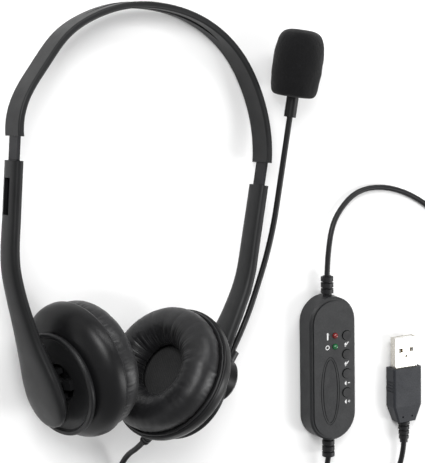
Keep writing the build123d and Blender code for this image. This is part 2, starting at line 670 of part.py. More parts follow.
CORD_A_DROP = [(17.8, -9.8, 19.3), (18.6, -15.2, 9.5), (19.2, -23.5, 2.7), (16.6, -34.5, 1.4), (13.4, -46.0, 1.4)]
CORD_A_RISE = [
    (32.5, -66.4, 1.4), (49.0, -68.0, 1.4), (69.0, -77.0, 1.4), (98.0, -79.0, 1.4), (132.0, -75.0, 1.4),
    (166.0, -72.0, 1.4), (192.0, -58.0, 1.4), (205.0, -30.0, 1.4), (208.0, 6.0, 1.4), (206.0, 44.0, 1.4),
    (197.0, 80.0, 1.4), (178.0, 107.0, 1.4), (150.0, 120.0, 1.4), (125.0, 119.0, 1.4), (112.6, 104.5, 2.6),
    (109.8, 89.0, 5.4),
]
CORD_B_FALL = [(130.1, -21.5, 5.0), (132.4, -33.0, 1.6), (133.8, -47.0, 1.4)]
CORD_B_RISE = [(163.2, -48.0, 1.4), (167.0, -35.5, 1.4), (171.5, -23.0, 1.6), (174.0, -12.5, 3.4)]


def route_tube(name, points):
    """Tube of the cord along straight runs joined by arcs, with its fair radii printed."""
    points = [Vector(*point) for point in points]
    radii = corner_radii(points)
    line = FilletPolyline(*points, radius=radii)
    tube = tube_along(line, CORD_D)
    expected = line.length * pi * CORD_D ** 2 / 4
    print(name, "length", round(line.length, 1), "volume ratio", round(tube.volume / expected, 4))
    print("  radii", [round(radius, 1) for radius in radii])
    put(name, tube)


def coil_body(at):
    inner = COIL_R - COIL_HALF
    outer = COIL_R + COIL_HALF
    body = ring(outer, inner, TABLE_GAP, TABLE_GAP + COIL_HEIGHT)
    body = fillet(body.edges(), 2.0)
    return Pos(at[0], at[1], 0) * body


route_tube("cord_from_cup", [tuple(gland_mouth)] + CORD_A_DROP)
route_tube("cord_to_box", CORD_A_RISE + [tuple(box_in)])
route_tube("cord_from_box", [tuple(box_out)] + CORD_B_FALL)
route_tube("cord_to_plug", CORD_B_RISE + [tuple(plug_end)])
put("cord_coil_cup", coil_body(COIL_A_AT))
put("cord_coil_plug", coil_body(COIL_B_AT))

# ---------------------------------------------------------------- origin and export
solid_nodes = Compound([nodes[name] for name in headset_nodes if name != "cable_gland"])
bounds = solid_nodes.bounding_box()
centre = Pos(-bounds.center().X, -bounds.center().Y, 0)
for name in nodes:
    nodes[name] = centre * nodes[name]

os.makedirs("parts", exist_ok=True)
for name, shape in nodes.items():
    export_step(shape, f"parts/{name}.step")
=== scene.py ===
import json
from math import cos, exp, pi, radians, sin

import bmesh
import bpy
from mathutils import Matrix, Vector, noise


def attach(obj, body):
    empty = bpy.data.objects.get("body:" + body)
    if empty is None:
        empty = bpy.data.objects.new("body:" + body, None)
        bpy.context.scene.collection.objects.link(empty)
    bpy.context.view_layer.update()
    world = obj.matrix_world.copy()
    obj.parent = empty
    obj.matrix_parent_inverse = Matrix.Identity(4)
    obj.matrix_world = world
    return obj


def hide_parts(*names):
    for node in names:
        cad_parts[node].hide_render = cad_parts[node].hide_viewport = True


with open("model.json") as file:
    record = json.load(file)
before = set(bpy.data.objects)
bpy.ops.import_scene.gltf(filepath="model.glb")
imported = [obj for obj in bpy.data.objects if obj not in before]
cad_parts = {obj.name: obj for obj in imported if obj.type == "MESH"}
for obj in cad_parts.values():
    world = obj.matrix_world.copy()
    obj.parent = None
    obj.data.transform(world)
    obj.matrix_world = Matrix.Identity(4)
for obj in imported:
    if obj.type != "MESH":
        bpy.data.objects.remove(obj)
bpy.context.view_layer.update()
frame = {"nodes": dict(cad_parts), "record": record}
MM = 0.001
SIDES = {"right": 1, "left": -1}

# ------------------------------------------------------------------ frames of the lying headset, in mm
# ORIGIN and LIE_HEIGHT put the lowest point of the headset on the table and its footprint's middle at 0, 0.
ORIGIN = Vector((-5.7717, -94.4307, 0.0))
LIE_HEIGHT = 37.1793
LIE_PITCH = radians(7.45)
LIE_ROLL = radians(5.6)
LAY = (Matrix.Translation(ORIGIN + Vector((0, 0, LIE_HEIGHT))) @ Matrix.Rotation(LIE_ROLL, 4, "Y")
       @ Matrix.Rotation(-pi / 2 - LIE_PITCH, 4, "X"))
CUP_AT = Vector((23.5, 4.0, 28.0))
ARM_Y = 5.0
CUP_TILT = radians(20)
CUP_SWIVEL = {"right": radians(14), "left": radians(8)}
DISH_DROP = 3.0
PIVOT_T = 11.2


def axes_matrix(origin, x_axis, z_axis):
    """Frame at origin with the given x and z directions, which are square to each other."""
    x_axis = x_axis.normalized()
    z_axis = z_axis.normalized()
    y_axis = z_axis.cross(x_axis)
    turn = Matrix((x_axis, y_axis, z_axis)).transposed().to_4x4()
    return Matrix.Translation(origin) @ turn


def arm_frame(side):
    """Frame of the cup before it swivels: z outward from the ear."""
    sign = SIDES[side]
    out = Vector((sign * cos(CUP_TILT), 0, -sin(CUP_TILT)))
    return LAY @ axes_matrix(Vector((sign * CUP_AT.x, CUP_AT.y, CUP_AT.z)), Vector((0, sign, 0)), out)


def cup_frame(side):
    """Frame of the cup as it lies, swivelled about its cross block."""
    pivot = Matrix.Translation((0, -DISH_DROP, PIVOT_T))
    return arm_frame(side) @ pivot @ Matrix.Rotation(CUP_SWIVEL[side], 4, "Y") @ pivot.inverted()


# ------------------------------------------------------------------ materials
class Nodes:
    """Small helper around one node material."""

    def __init__(self, name):
        self.mat = bpy.data.materials.new(name)
        self.mat.use_nodes = True
        self.tree = self.mat.node_tree
        self.shader = self.tree.nodes["Principled BSDF"]
        self.coords = self.add("ShaderNodeTexCoord").outputs["Object"]

    def add(self, kind, **values):
        node = self.tree.nodes.new(kind)
        for key, value in values.items():
            setattr(node, key, value)
        return node

    def link(self, a, b):
        self.tree.links.new(a, b)

    def set(self, **values):
        for key, value in values.items():
            self.shader.inputs[key.replace("_", " ")].default_value = value

    def noise(self, scale, detail=2.0, roughness=0.5, stretch=None):
        node = self.add("ShaderNodeTexNoise")
        node.inputs["Scale"].default_value = scale
        node.inputs["Detail"].default_value = detail
        node.inputs["Roughness"].default_value = roughness
        source = self.coords
        if stretch:
            mapping = self.add("ShaderNodeMapping")
            mapping.inputs["Scale"].default_value = stretch
            self.link(source, mapping.inputs["Vector"])
            source = mapping.outputs["Vector"]
        self.link(source, node.inputs["Vector"])
        return node.outputs["Fac"]

    def cells(self, scale, feature="F1"):
        node = self.add("ShaderNodeTexVoronoi", feature=feature)
        node.inputs["Scale"].default_value = scale
        self.link(self.coords, node.inputs["Vector"])
        return node.outputs["Distance"]

    def ramp(self, source, low, high, start=0.3, stop=0.7):
        node = self.add("ShaderNodeMapRange")
        node.inputs["From Min"].default_value = start
        node.inputs["From Max"].default_value = stop
        node.inputs["To Min"].default_value = low
        node.inputs["To Max"].default_value = high
        self.link(source, node.inputs["Value"])
        return node.outputs["Result"]

    def colours(self, source, first, second, start=0.3, stop=0.7):
        node = self.add("ShaderNodeValToRGB")
        node.color_ramp.elements[0].position = start
        node.color_ramp.elements[1].position = stop
        node.color_ramp.elements[0].color = (*first, 1)
        node.color_ramp.elements[1].color = (*second, 1)
        self.link(source, node.inputs["Fac"])
        self.link(node.outputs["Color"], self.shader.inputs["Base Color"])

    def rough(self, source, low, high):
        self.link(self.ramp(source, low, high), self.shader.inputs["Roughness"])

    def bump(self, source, height, strength=1.0, after=None):
        node = self.add("ShaderNodeBump")
        node.inputs["Distance"].default_value = height
        node.inputs["Strength"].default_value = strength
        self.link(source, node.inputs["Height"])
        if after:
            self.link(after, node.inputs["Normal"])
        self.link(node.outputs["Normal"], self.shader.inputs["Normal"])
        return node.outputs["Normal"]


def tint(base, factor):
    return tuple(channel * factor for channel in base)


def plastic(name, base, rough, grain=0.00001, scale=9000, spread=0.18, **sockets):
    """Moulded plastic: fine grain, faint flow variation and slightly uneven polish."""
    n = Nodes(name)
    n.colours(n.noise(55, 4), tint(base, 1 - spread), tint(base, 1 + spread))
    n.rough(n.noise(130, 3), rough - 0.05, rough + 0.06)
    first = n.bump(n.noise(scale, 1), grain)
    n.bump(n.noise(260, 2), grain * 2.5, 0.5, first)
    n.set(**sockets)
    return n.mat


def leatherette():
    """Soft coated cloth: fine pebble grain, broad soft creases and a low sheen."""
    n = Nodes("leatherette")
    n.colours(n.noise(120, 4), (0.0045, 0.0045, 0.005), (0.009, 0.009, 0.010))
    n.rough(n.noise(420, 3), 0.36, 0.5)
    pebble = n.bump(n.cells(1900), 0.00003, 0.55)
    n.bump(n.noise(500, 3), 0.00006, 0.5, pebble)
    n.set(Sheen_Weight=0.03, Sheen_Roughness=0.5, Specular_IOR_Level=0.34)
    return n.mat


def foam():
    """Open-cell foam: pits painted dark as painted shade, between lighter thin ribs."""
    n = Nodes("foam")
    pores = n.cells(2600)
    # painted shade: the colour is darkest at the pit centres, where the bump is lowest
    n.colours(pores, (0.0018, 0.0018, 0.002), (0.007, 0.007, 0.0075), 0.15, 0.6)
    n.rough(n.noise(900, 3), 0.92, 1.0)
    first = n.bump(pores, 0.0002, 0.8)
    n.bump(n.noise(700, 3), 0.0002, 0.6, first)
    n.set(Sheen_Weight=0.08, Specular_IOR_Level=0.12)
    return n.mat


def cloth():
    """Fine woven cloth over the loudspeaker."""
    n = Nodes("ear_cloth")
    threads = []
    for direction in ("X", "Y", "Z"):
        wave = n.add("ShaderNodeTexWave", wave_type="BANDS", bands_direction=direction)
        wave.inputs["Scale"].default_value = 620
        wave.inputs["Distortion"].default_value = 0.4
        n.link(n.coords, wave.inputs["Vector"])
        threads.append(wave.outputs["Fac"])
    mix = n.add("ShaderNodeMath", operation="MAXIMUM")
    n.link(threads[0], mix.inputs[0])
    n.link(threads[1], mix.inputs[1])
    both = n.add("ShaderNodeMath", operation="MULTIPLY")
    n.link(mix.outputs[0], both.inputs[0])
    n.link(threads[2], both.inputs[1])
    n.colours(both.outputs[0], (0.003, 0.003, 0.003), (0.016, 0.016, 0.017), 0.1, 0.9)
    n.rough(n.noise(300), 0.85, 0.95)
    n.bump(both.outputs[0], 0.0001, 0.8)
    n.set(Sheen_Weight=0.1)
    return n.mat


def rubber(name, base, rough=0.5):
    n = Nodes(name)
    n.colours(n.noise(90, 4), tint(base, 0.8), tint(base, 1.2))
    n.rough(n.noise(220, 3), rough - 0.06, rough + 0.08)
    n.bump(n.noise(3500, 2), 0.000015, 0.7)
    n.set(Specular_IOR_Level=0.25)
    return n.mat


def metal(name, base, rough, brushed=None):
    n = Nodes(name)
    n.colours(n.noise(80, 3), tint(base, 0.9), tint(base, 1.05))
    n.rough(n.noise(160, 3), rough - 0.05, rough + 0.08)
    n.bump(n.noise(700, 2, stretch=brushed or (1, 1, 1)), 0.00001, 0.5)
    n.set(Metallic=1.0)
    return n.mat


def textured(name, base, rough, height=0.00005, scale=2300):
    """Spark-eroded plastic: fine grain bump, with painted glints on its raised specks and painted shade in
    its valleys.
    """
    n = Nodes(name)
    grain = n.noise(scale, 2, 0.6)
    # painted light: the colour follows the bump, lighter on the raised specks as painted glints and darker in
    # the valleys as painted shade
    n.colours(grain, tint(base, 0.72), tint(base, 1.3), 0.35, 0.65)
    n.rough(n.noise(180, 2), rough - 0.04, rough + 0.05)
    n.bump(grain, height, 0.8)
    n.set(Specular_IOR_Level=0.25)
    return n.mat


def lens(name, base):
    n = Nodes(name)
    n.colours(n.noise(900, 2), tint(base, 0.75), base)
    n.rough(n.noise(300), 0.1, 0.2)
    # painted glow: the faint emission in the lens colour makes the lens shine by itself
    n.set(Coat_Weight=0.6, Coat_Roughness=0.06, Emission_Color=(*base, 1), Emission_Strength=0.1)
    return n.mat


BAND = plastic("band_plastic", (0.0100, 0.0102, 0.0108), 0.40, Specular_IOR_Level=0.22)
ARM = plastic("arm_plastic", (0.0085, 0.0087, 0.0092), 0.37, Specular_IOR_Level=0.22)
LINER = plastic("liner_plastic", (0.010, 0.0102, 0.0108), 0.44, Specular_IOR_Level=0.22)
SHELL = plastic("shell_plastic", (0.0055, 0.0055, 0.006), 0.36, Specular_IOR_Level=0.22)
DISH = plastic("dish_plastic", (0.010, 0.0102, 0.0108), 0.38, Specular_IOR_Level=0.22)
INNER = plastic("inner_plastic", (0.006, 0.006, 0.0065), 0.55, Specular_IOR_Level=0.3)
BOOM = plastic("boom_plastic", (0.006, 0.006, 0.0065), 0.36, Specular_IOR_Level=0.22)
BOX = textured("box_plastic", (0.017, 0.0175, 0.0185), 0.48)
OVAL = textured("oval_plastic", (0.016, 0.0165, 0.0175), 0.5)
KEY = rubber("button_rubber", (0.0065, 0.0068, 0.0075), 0.42)
STRIP = metal("strip_steel", (0.03, 0.03, 0.032), 0.42, (1, 1, 0.05))
SCREW = metal("screw_steel", (0.25, 0.25, 0.26), 0.35)
MAGNET = metal("magnet_steel", (0.55, 0.55, 0.56), 0.3)
NICKEL = metal("plug_nickel", (0.62, 0.60, 0.55), 0.28, (1, 0.1, 1))
GOLD = metal("contact_gold", (0.85, 0.62, 0.28), 0.3)
CAN = metal("mic_metal", (0.7, 0.7, 0.71), 0.3)
PLUG = textured("plug_plastic", (0.020, 0.0215, 0.0255), 0.5, 0.00003)
CORD = rubber("cord_rubber", (0.0075, 0.0075, 0.0085), 0.4)
GLAND = rubber("gland_rubber", (0.009, 0.009, 0.010), 0.48)
LEATHER = leatherette()
FOAM = foam()
CLOTH = cloth()
FILM = plastic("diaphragm_film", (0.35, 0.33, 0.28), 0.2)
CAGE = plastic("mic_parts", (0.04, 0.04, 0.042), 0.5)
BOARD = plastic("board_green", (0.02, 0.18, 0.06), 0.4)
CHIP = plastic("chip_black", (0.03, 0.03, 0.03), 0.5)
WHITE = plastic("tongue_white", (0.75, 0.75, 0.73), 0.4, spread=0.05)
RED = lens("led_red_lens", (0.16, 0.006, 0.006))
GREEN = lens("led_green_lens", (0.004, 0.11, 0.03))
INK = plastic("icon_ink", (0.62, 0.62, 0.62), 0.6, spread=0.05)

FINISH = {
    "band_plastic": BAND, "strip_steel": STRIP, "arm_plastic": ARM, "liner_plastic": LINER,
    "shell_plastic": SHELL, "dish_plastic": DISH, "leatherette": LEATHER, "inner_plastic": INNER,
    "magnet_steel": MAGNET, "diaphragm_film": FILM, "ear_cloth": CLOTH, "screw_steel": SCREW,
    "gland_rubber": GLAND, "boom_plastic": BOOM, "mic_parts": CAGE, "mic_metal": CAN, "foam": FOAM,
    "box_plastic": BOX, "oval_plastic": OVAL, "button_rubber": KEY, "led_red_lens": RED,
    "led_green_lens": GREEN, "board_green": BOARD, "chip_black": CHIP, "plug_nickel": NICKEL,
    "plug_plastic": PLUG, "tongue_white": WHITE, "contact_gold": GOLD, "cord_rubber": CORD,
}
for part in frame["record"]["subparts"]:
    node = frame["nodes"][part["node"]]
    node.data.materials.clear()
    node.data.materials.append(FINISH[part["material_slot"]])

# ------------------------------------------------------------------ camera, floor and light
BACK = Vector((-0.4916, 0.1062, 0.8643)).normalized()
UP = Vector((-0.0870, 0.9816, -0.1701))
AIM = Vector((0.0222, 0.0002, 0.0380))
CAMERA_DISTANCE = 1.1
FOCAL_LENGTH = 209.5
right_axis = UP.cross(BACK).normalized()
up_axis = BACK.cross(right_axis)
camera = bpy.data.objects.new("camera", bpy.data.cameras.new("camera"))
camera.data.sensor_fit = "HORIZONTAL"
camera.data.sensor_width = 36
camera.data.lens = FOCAL_LENGTH
camera.matrix_world = Matrix.Translation(AIM + BACK * CAMERA_DISTANCE) @ Matrix(
    (right_axis, up_axis, BACK)).transposed().to_4x4()
bpy.context.collection.objects.link(camera)
bpy.context.scene.camera = camera


def mesh_object(name, bm, material, smooth=True):
    mesh = bpy.data.meshes.new(name)
    bm.to_mesh(mesh)
    bm.free()
    mesh.materials.append(material)
    if smooth:
        mesh.shade_smooth()
    obj = bpy.data.objects.new(name, mesh)
    bpy.context.collection.objects.link(obj)
    return obj


def floor():
    """White table, a fifth of a millimetre below the object."""
    n = Nodes("floor")
    n.colours(n.noise(3, 2), (0.86, 0.86, 0.86), (0.9, 0.9, 0.9))
    n.rough(n.noise(20), 0.8, 0.9)
    bm = bmesh.new()
    bmesh.ops.create_grid(bm, x_segments=2, y_segments=2, size=6)
    sheet = mesh_object("floor", bm, n.mat, False)
    sheet.location.z = -0.0002


def area_light(name, spot, size, power, target=(0, 0, 0.03)):
    lamp = bpy.data.lights.new(name, "AREA")
    lamp.shape = "RECTANGLE"
    lamp.size, lamp.size_y = size
    lamp.energy = power
    obj = bpy.data.objects.new(name, lamp)
    obj.location = spot
    aim = Vector(target) - obj.location
    obj.rotation_euler = aim.to_track_quat("-Z", "Y").to_euler()
    bpy.context.collection.objects.link(obj)


floor()
area_light("key", (-0.9, 0.7, 1.2), (0.6, 0.9), 22)
area_light("side", (1.2, -0.2, 0.9), (0.35, 1.2), 13)
area_light("top", (0.2, 1.3, 0.9), (1.2, 0.3), 12)
world = bpy.data.worlds.new("studio")
bpy.context.scene.world = world
world.use_nodes = True
world.node_tree.nodes["Background"].inputs["Color"].default_value = (1, 1, 1, 1)
world.node_tree.nodes["Background"].inputs["Strength"].default_value = 0.42
bpy.context.scene.view_settings.view_transform = "Standard"

# ------------------------------------------------------------------ cables
CORD_D = 2.6
LYING = 1.4
TURN_STEP = 2.75
COIL_R = 14.3
COIL_CELLS = [(1, 0), (0, 0), (-1, 0), (-1, 1), (-1, 2), (0, 2), (0, 1), (1, 1)]
POINTS_PER_TURN = 16
CROSSING = 0.25
SPLINE_CUT = 0.985


def coil_turns(centre, start, turns):
    """Points of a neat winding, counter-clockwise from the angle start.

    Each turn lies in one (column, layer) cell of the bundle's section, and crosses to the next cell
    in its last quarter. SPLINE_CUT makes up for the spline, which runs inside its points.
    """
    points = []
    for index in range(int(turns * POINTS_PER_TURN)):
        turn = index / POINTS_PER_TURN
        here = COIL_CELLS[min(int(turn), len(COIL_CELLS) - 1)]
        after = COIL_CELLS[min(int(turn) + 1, len(COIL_CELLS) - 1)]
        shift = max(0.0, (turn - int(turn) - (1 - CROSSING)) / CROSSING)
        column = here[0] + (after[0] - here[0]) * shift
        layer = here[1] + (after[1] - here[1]) * shift
        radius = (COIL_R + column * TURN_STEP) / SPLINE_CUT
        angle = start + turn * 2 * pi
        points.append((centre[0] + radius * cos(angle), centre[1] + radius * sin(angle),
                       LYING + layer * TURN_STEP))
    return points


def in_metres(point):
    """A point of the laid route, in the frame of the object."""
    return tuple((Vector(point) + ORIGIN) * MM)


def cable(name, points):
    """Round cable on one NURBS spline through the laid route, points in mm."""
    curve = bpy.data.curves.new(name, "CURVE")
    curve.dimensions = "3D"
    curve.bevel_depth = CORD_D / 2 * MM
    curve.bevel_resolution = 5
    curve.resolution_u = 6
    curve.use_fill_caps = True
    spline = curve.splines.new("NURBS")
    spline.points.add(len(points) - 1)
    for spot, point in zip(spline.points, points):
        spot.co = (*in_metres(point), 1)
    spline.order_u = 3
    spline.use_endpoint_u = True
    curve.materials.append(CORD)
    obj = bpy.data.objects.new(name, curve)
    bpy.context.collection.objects.link(obj)
    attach(obj, "cup_right")
    return obj


GLAND_MOUTH = (17.187, -5.059, 25.496)
BOX_IN = (111.728, 75.107, 5.75)
BOX_OUT = (129.472, -12.107, 5.75)
PLUG_END = (172.576, -3.237, 4.0)
CUP_COIL_AT = (30.0, -50.0)
PLUG_COIL_AT = (148.5, -50.0)
CUP_DROP = [
    (17.8, -9.8, 19.3), (18.6, -15.2, 9.5), (19.2, -23.5, 2.7), (16.6, -34.5, LYING), (13.4, -46.0, LYING),
]
BOX_RISE = [
    (32.5, -66.4, LYING), (49.0, -68.0, LYING), (69.0, -77.0, LYING), (98.0, -79.0, LYING),
    (132.0, -75.0, LYING), (166.0, -72.0, LYING), (192.0, -58.0, LYING), (205.0, -30.0, LYING),
    (208.0, 6.0, LYING), (206.0, 44.0, LYING), (197.0, 80.0, LYING), (178.0, 107.0, LYING),
    (150.0, 120.0, LYING), (125.0, 119.0, LYING), (112.6, 104.5, 2.6), (109.8, 89.0, 5.4),
]
BOX_FALL = [(130.1, -21.5, 5.0), (132.4, -33.0, 1.6), (133.8, -47.0, LYING)]
PLUG_RISE = [(163.2, -48.0, LYING), (167.0, -35.5, LYING), (171.5, -23.0, 1.6), (174.0, -12.5, 3.4)]
CUP_ROUTE = [GLAND_MOUTH] + CUP_DROP + coil_turns(CUP_COIL_AT, radians(185), 7.2) + BOX_RISE + [BOX_IN]
PLUG_ROUTE = [BOX_OUT] + BOX_FALL + coil_turns(PLUG_COIL_AT, radians(190), 7.42) + PLUG_RISE + [PLUG_END]

cup_cable = cable("cable_to_box", CUP_ROUTE)
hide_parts("cord_from_cup", "cord_coil_cup", "cord_to_box")
plug_cable = cable("cable_to_plug", PLUG_ROUTE)
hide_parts("cord_from_box", "cord_coil_plug", "cord_to_plug")


# ------------------------------------------------------------------ mesh helpers, local frames in mm
def wrap(count):
    """Angles once round a circle, in equal steps."""
    return [2 * pi * index / count for index in range(count)]


def skin(bm, rings, close_ends=True):
    """Faces between rings of vertices; a ring may be a single vertex."""
    for first, second in zip(rings, rings[1:]):
        count = max(len(first), len(second))
        for index in range(count):
            after = (index + 1) % count
            corners = [first[index % len(first)], first[after % len(first)],
                       second[after % len(second)], second[index % len(second)]]
            unique = list(dict.fromkeys(corners))
            if len(unique) > 2:
                bm.faces.new(unique)
    if close_ends:
        for ring in (rings[0], rings[-1]):
            if len(ring) > 2:
                bm.faces.new(ring)


def between(a, b, c, d, t):
    """Catmull-Rom value at t from b to c, with neighbours a and d."""
    return 0.5 * (2 * b + (c - a) * t + (2 * a - 5 * b + 4 * c - d) * t * t
                  + (3 * b - a - 3 * c + d) * t ** 3)


def smooth_profile(corners, steps):
    """Smooth line through profile corners (radius, height)."""
    points = [Vector(corner) for corner in corners]
    points = [2 * points[0] - points[1]] + points + [2 * points[-1] - points[-2]]
    line = []
    for a, b, c, d in zip(points, points[1:], points[2:], points[3:]):
        line += [between(a, b, c, d, step / steps) for step in range(steps)]
    line.append(points[-2])
    return line


def turned(name, place, profile, count, material, bend=None, closed=False):
    """Surface of revolution about local Z; bend(radius, height, angle, along) moves each vertex."""
    bm = bmesh.new()
    rings = []
    for step, (radius, height) in enumerate(profile):
        along = step / (len(profile) - 1)
        ring = []
        for angle in wrap(count if radius > 0.001 else 1):
            r, z = radius, height
            if bend:
                r, z = bend(radius, height, angle, along)
            ring.append(bm.verts.new(place @ Vector((r * cos(angle), r * sin(angle), z)) * MM))
        rings.append(ring)
    if closed:
        rings.append(rings[0])
    skin(bm, rings, False)
    bmesh.ops.recalc_face_normals(bm, faces=bm.faces)
    return mesh_object(name, bm, material)


def own(obj, body, slot, *nodes):
    """Give the piece its body, and hide the CAD nodes that it replaces; slot is not used."""
    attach(obj, body)
    if nodes:
        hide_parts(*nodes)
    return obj


def crease(angle, along, folds, seed, drift=1.0):
    """Radial crease pattern: sharp valleys between rounded folds, running along the profile."""
    radius = folds / (2 * pi)
    spot = Vector((radius * cos(angle), radius * sin(angle), along * drift + seed))
    return 1 - abs(noise.noise(spot)) * 2.2


def pulse(value, middle, width):
    """Bell curve, 1 at the middle."""
    return exp(-((value - middle) / width) ** 2)


# ------------------------------------------------------------------ ear cushions
# Profiles are (radius, height) in the cup's frame: the housing's rim is near height 0, the ear below it.
CUSHION_PROFILE = [
    (27.6, -2.1), (28.6, -2.9), (29.1, -4.6), (29.2, -7.0), (28.6, -9.8), (26.9, -12.2), (24.0, -13.8),
    (20.4, -14.3), (17.0, -13.5), (14.2, -11.6), (12.4, -9.0), (11.8, -6.4), (12.6, -4.0), (14.2, -2.3),
]
CUSHION_CORE = Vector((20.4, -8.0))
CUSHION_SEED = {"right": 3.0, "left": 11.0}


def cushion(side):
    """Padded ring: deep folds towards the ear hole, finer ones at the seam, a nearly smooth crown."""
    seed = CUSHION_SEED[side]

    def folds(r, z, angle, along):
        short_fold = crease(angle, along, 105, seed + 7, 2.2)
        inner = 0.62 * crease(angle, along, 46, seed, 1.6) + 0.3 * short_fold
        seam = 0.34 * crease(angle, along, 64, seed + 3) + 0.12 * short_fold
        crown = 0.16 * crease(angle, along, 30, seed + 5, 2.5)
        depth = (pulse(along, 0.80, 0.17) * inner + pulse(along, 0.05, 0.16) * seam
                 + pulse(along, 0.5, 0.25) * crown)
        swell = 0.22 * noise.noise(Vector((2.2 * cos(angle), 2.2 * sin(angle), along * 2 + seed)))
        push = (Vector((r, z)) - CUSHION_CORE).normalized() * (swell - depth * 0.8)
        return r + push.x, z + push.y

    line = [(p.x, p.y) for p in smooth_profile(CUSHION_PROFILE, 5)]
    ring = turned(f"cushion_cover_{side}", cup_frame(side), line, 560, LEATHER, folds, True)
    own(ring, f"cup_{side}", "leatherette", f"ear_cushion_{side}")

    def wave(r, z, angle, along):
        lift = 0.16 * noise.noise(Vector((9 * cos(angle), 9 * sin(angle), seed)))
        return r + lift, z + lift * 1.4

    edge = [(29.55 + 0.55 * cos(a), -2.0 + 0.5 * sin(a)) for a in wrap(10)]
    piping = turned(f"cushion_piping_{side}", cup_frame(side), edge, 360, LEATHER, wave, True)
    own(piping, f"cup_{side}", "leatherette")


# ------------------------------------------------------------------ cup shells and dished caps
def shell_outline():
    """Profile of the housing, inside to outside."""
    outer = [(16.0, 10.0)]
    for step in range(1, 24):
        t = pi / 2 * step / 24
        outer.append((16.0 + 15.0 * sin(t), -0.3 + 10.3 * cos(t) ** 0.86))
    outer.append((31.0, -0.3))
    rim = [(31.0, -0.7), (30.9, -1.15), (30.6, -1.5), (30.1, -1.6), (29.2, -1.6), (28.95, -1.4), (28.9, -0.6)]
    inner = []
    for step in range(12, -1, -1):
        t = pi / 2 * step / 12
        inner.append((15.0 + 13.9 * sin(t), -0.6 + 8.8 * cos(t)))
    return [(10.4, 8.2), (10.4, 10.0)] + outer + rim + inner


def dish_outline():
    """Profile of the raised rim round the dished cap."""
    corners = [
        (9.2, 10.8), (9.2, 11.0), (13.0, 11.25), (17.0, 11.6), (20.6, 12.0), (21.6, 12.9), (22.0, 13.15),
        (22.6, 13.2), (23.2, 13.05), (23.5, 12.6), (23.55, 12.0), (23.2, 11.0), (22.8, 10.62), (20.0, 10.05),
    ]
    return [(p.x, p.y) for p in smooth_profile(corners, 4)]


def cup(side):
    cushion(side)
    place = cup_frame(side)
    shell = turned(f"housing_{side}", place, shell_outline(), 180, SHELL, None, True)
    own(shell, f"cup_{side}", "shell_plastic", f"cup_shell_{side}")
    lower = place @ Matrix.Translation((0, -DISH_DROP, 0))
    rim = turned(f"cap_rim_{side}", lower, dish_outline(), 180, DISH)
    own(rim, f"cup_{side}", "dish_plastic")


for side in SIDES:
    cup(side)

# ------------------------------------------------------------------ arms: outer shell, inner shell and foot
ARM_TOP = Vector((65.3, 4.0, 116.5))
SLIDE = Vector((-0.06, 0.02, -1)).normalized()


def arm_spot(out, rise):
    """Point of the arm beside the cup: out from the ear, and rise along the cup's face."""
    return Vector((CUP_AT.x + out * cos(CUP_TILT) + rise * sin(CUP_TILT), ARM_Y,
                   CUP_AT.z - out * sin(CUP_TILT) + rise * cos(CUP_TILT)))


# Stations of the arm, top to bottom: centre, width and thickness.
ARM_GUIDE = [
    (ARM_TOP, 11.4, 5.6), (ARM_TOP + SLIDE * 13, 11.4, 5.6), (ARM_TOP + SLIDE * 26, 11.5, 5.6),
    (ARM_TOP + SLIDE * 39, 11.8, 5.7), (Vector((61.2, ARM_Y, 68.0)), 12.4, 5.8),
    (Vector((57.4, ARM_Y, 57.0)), 13.4, 5.9), (Vector((53.4, ARM_Y, 47.5)), 15.2, 6.1),
    (arm_spot(20.8, 18), 18.4, 6.5), (arm_spot(20.0, 9), 22.8, 6.9), (arm_spot(19.3, 1), 27.0, 7.2),
    (arm_spot(18.8, -7), 28.4, 7.0), (arm_spot(18.3, -13), 25.6, 6.2), (arm_spot(17.95, -17.3), 19.6, 5.0),
    (arm_spot(17.85, -19.6), 12.6, 3.9), (arm_spot(17.8, -20.6), 5.0, 2.6),
]
STEPS = 6
COLLAR = 7 * STEPS
TIP = (len(ARM_GUIDE) - 1) * STEPS
OUTER_GROOVE = 0.09
INNER_GROOVE = 0.02


def glide(values, t):
    """Smooth value at t stations along the guide."""
    index = min(int(t), len(values) - 2)
    before = values[max(index - 1, 0)]
    after = values[min(index + 2, len(values) - 1)]
    return between(before, values[index], values[index + 1], after, t - index)


def arm_stations():
    """Centre, width and thickness at STEPS stations for each part of the guide."""
    spots, widths, thicks = zip(*ARM_GUIDE)
    times = [index / STEPS for index in range(TIP + 1)]
    return [(glide(spots, t), glide(widths, t), glide(thicks, t)) for t in times]


def signed_power(value, power):
    return abs(value) ** power * (1 if value >= 0 else -1)


def half_section(width, thick, edge, around=26):
    """Points (across, outward) of half the arm's section: its crowned face, then its flat parting face."""
    points = []
    for step in range(around + 1):
        angle = pi * step / around
        rise = abs(sin(angle)) ** 0.80
        points.append((signed_power(cos(angle), 0.72) * (width / 2), edge + rise * (thick / 2 - edge)))
    for step in range(around - 1, 0, -1):
        points.append((cos(pi * step / around) * (width / 2 - 0.5), 0.03))
    return points


def arm_shell(name, side, sign, first, last):
    """Outer (sign 1) or inner (sign -1) shell of the arm between two stations."""
    stations = arm_stations()
    place = LAY @ Matrix.Scale(SIDES[side], 4, (1, 0, 0))
    edge = OUTER_GROOVE if sign > 0 else INNER_GROOVE
    bm = bmesh.new()
    rings = []
    for index in range(first, last + 1):
        spot, width, thick = stations[index]
        before = stations[max(index - 1, 0)][0]
        after = stations[min(index + 1, len(stations) - 1)][0]
        down = (after - before).normalized()
        across = (Vector((0, 1, 0)) - down * down.y).normalized()
        out = across.cross(down)
        if out.x < 0:
            out = -out
        ring = []
        for flat, rise in half_section(width, thick, edge):
            point = spot + across * flat + out * sign * rise
            ring.append(bm.verts.new(place @ point * MM))
        rings.append(ring)
    skin(bm, rings)
    bmesh.ops.recalc_face_normals(bm, faces=bm.faces)
    return mesh_object(name, bm, ARM if sign > 0 else LINER)


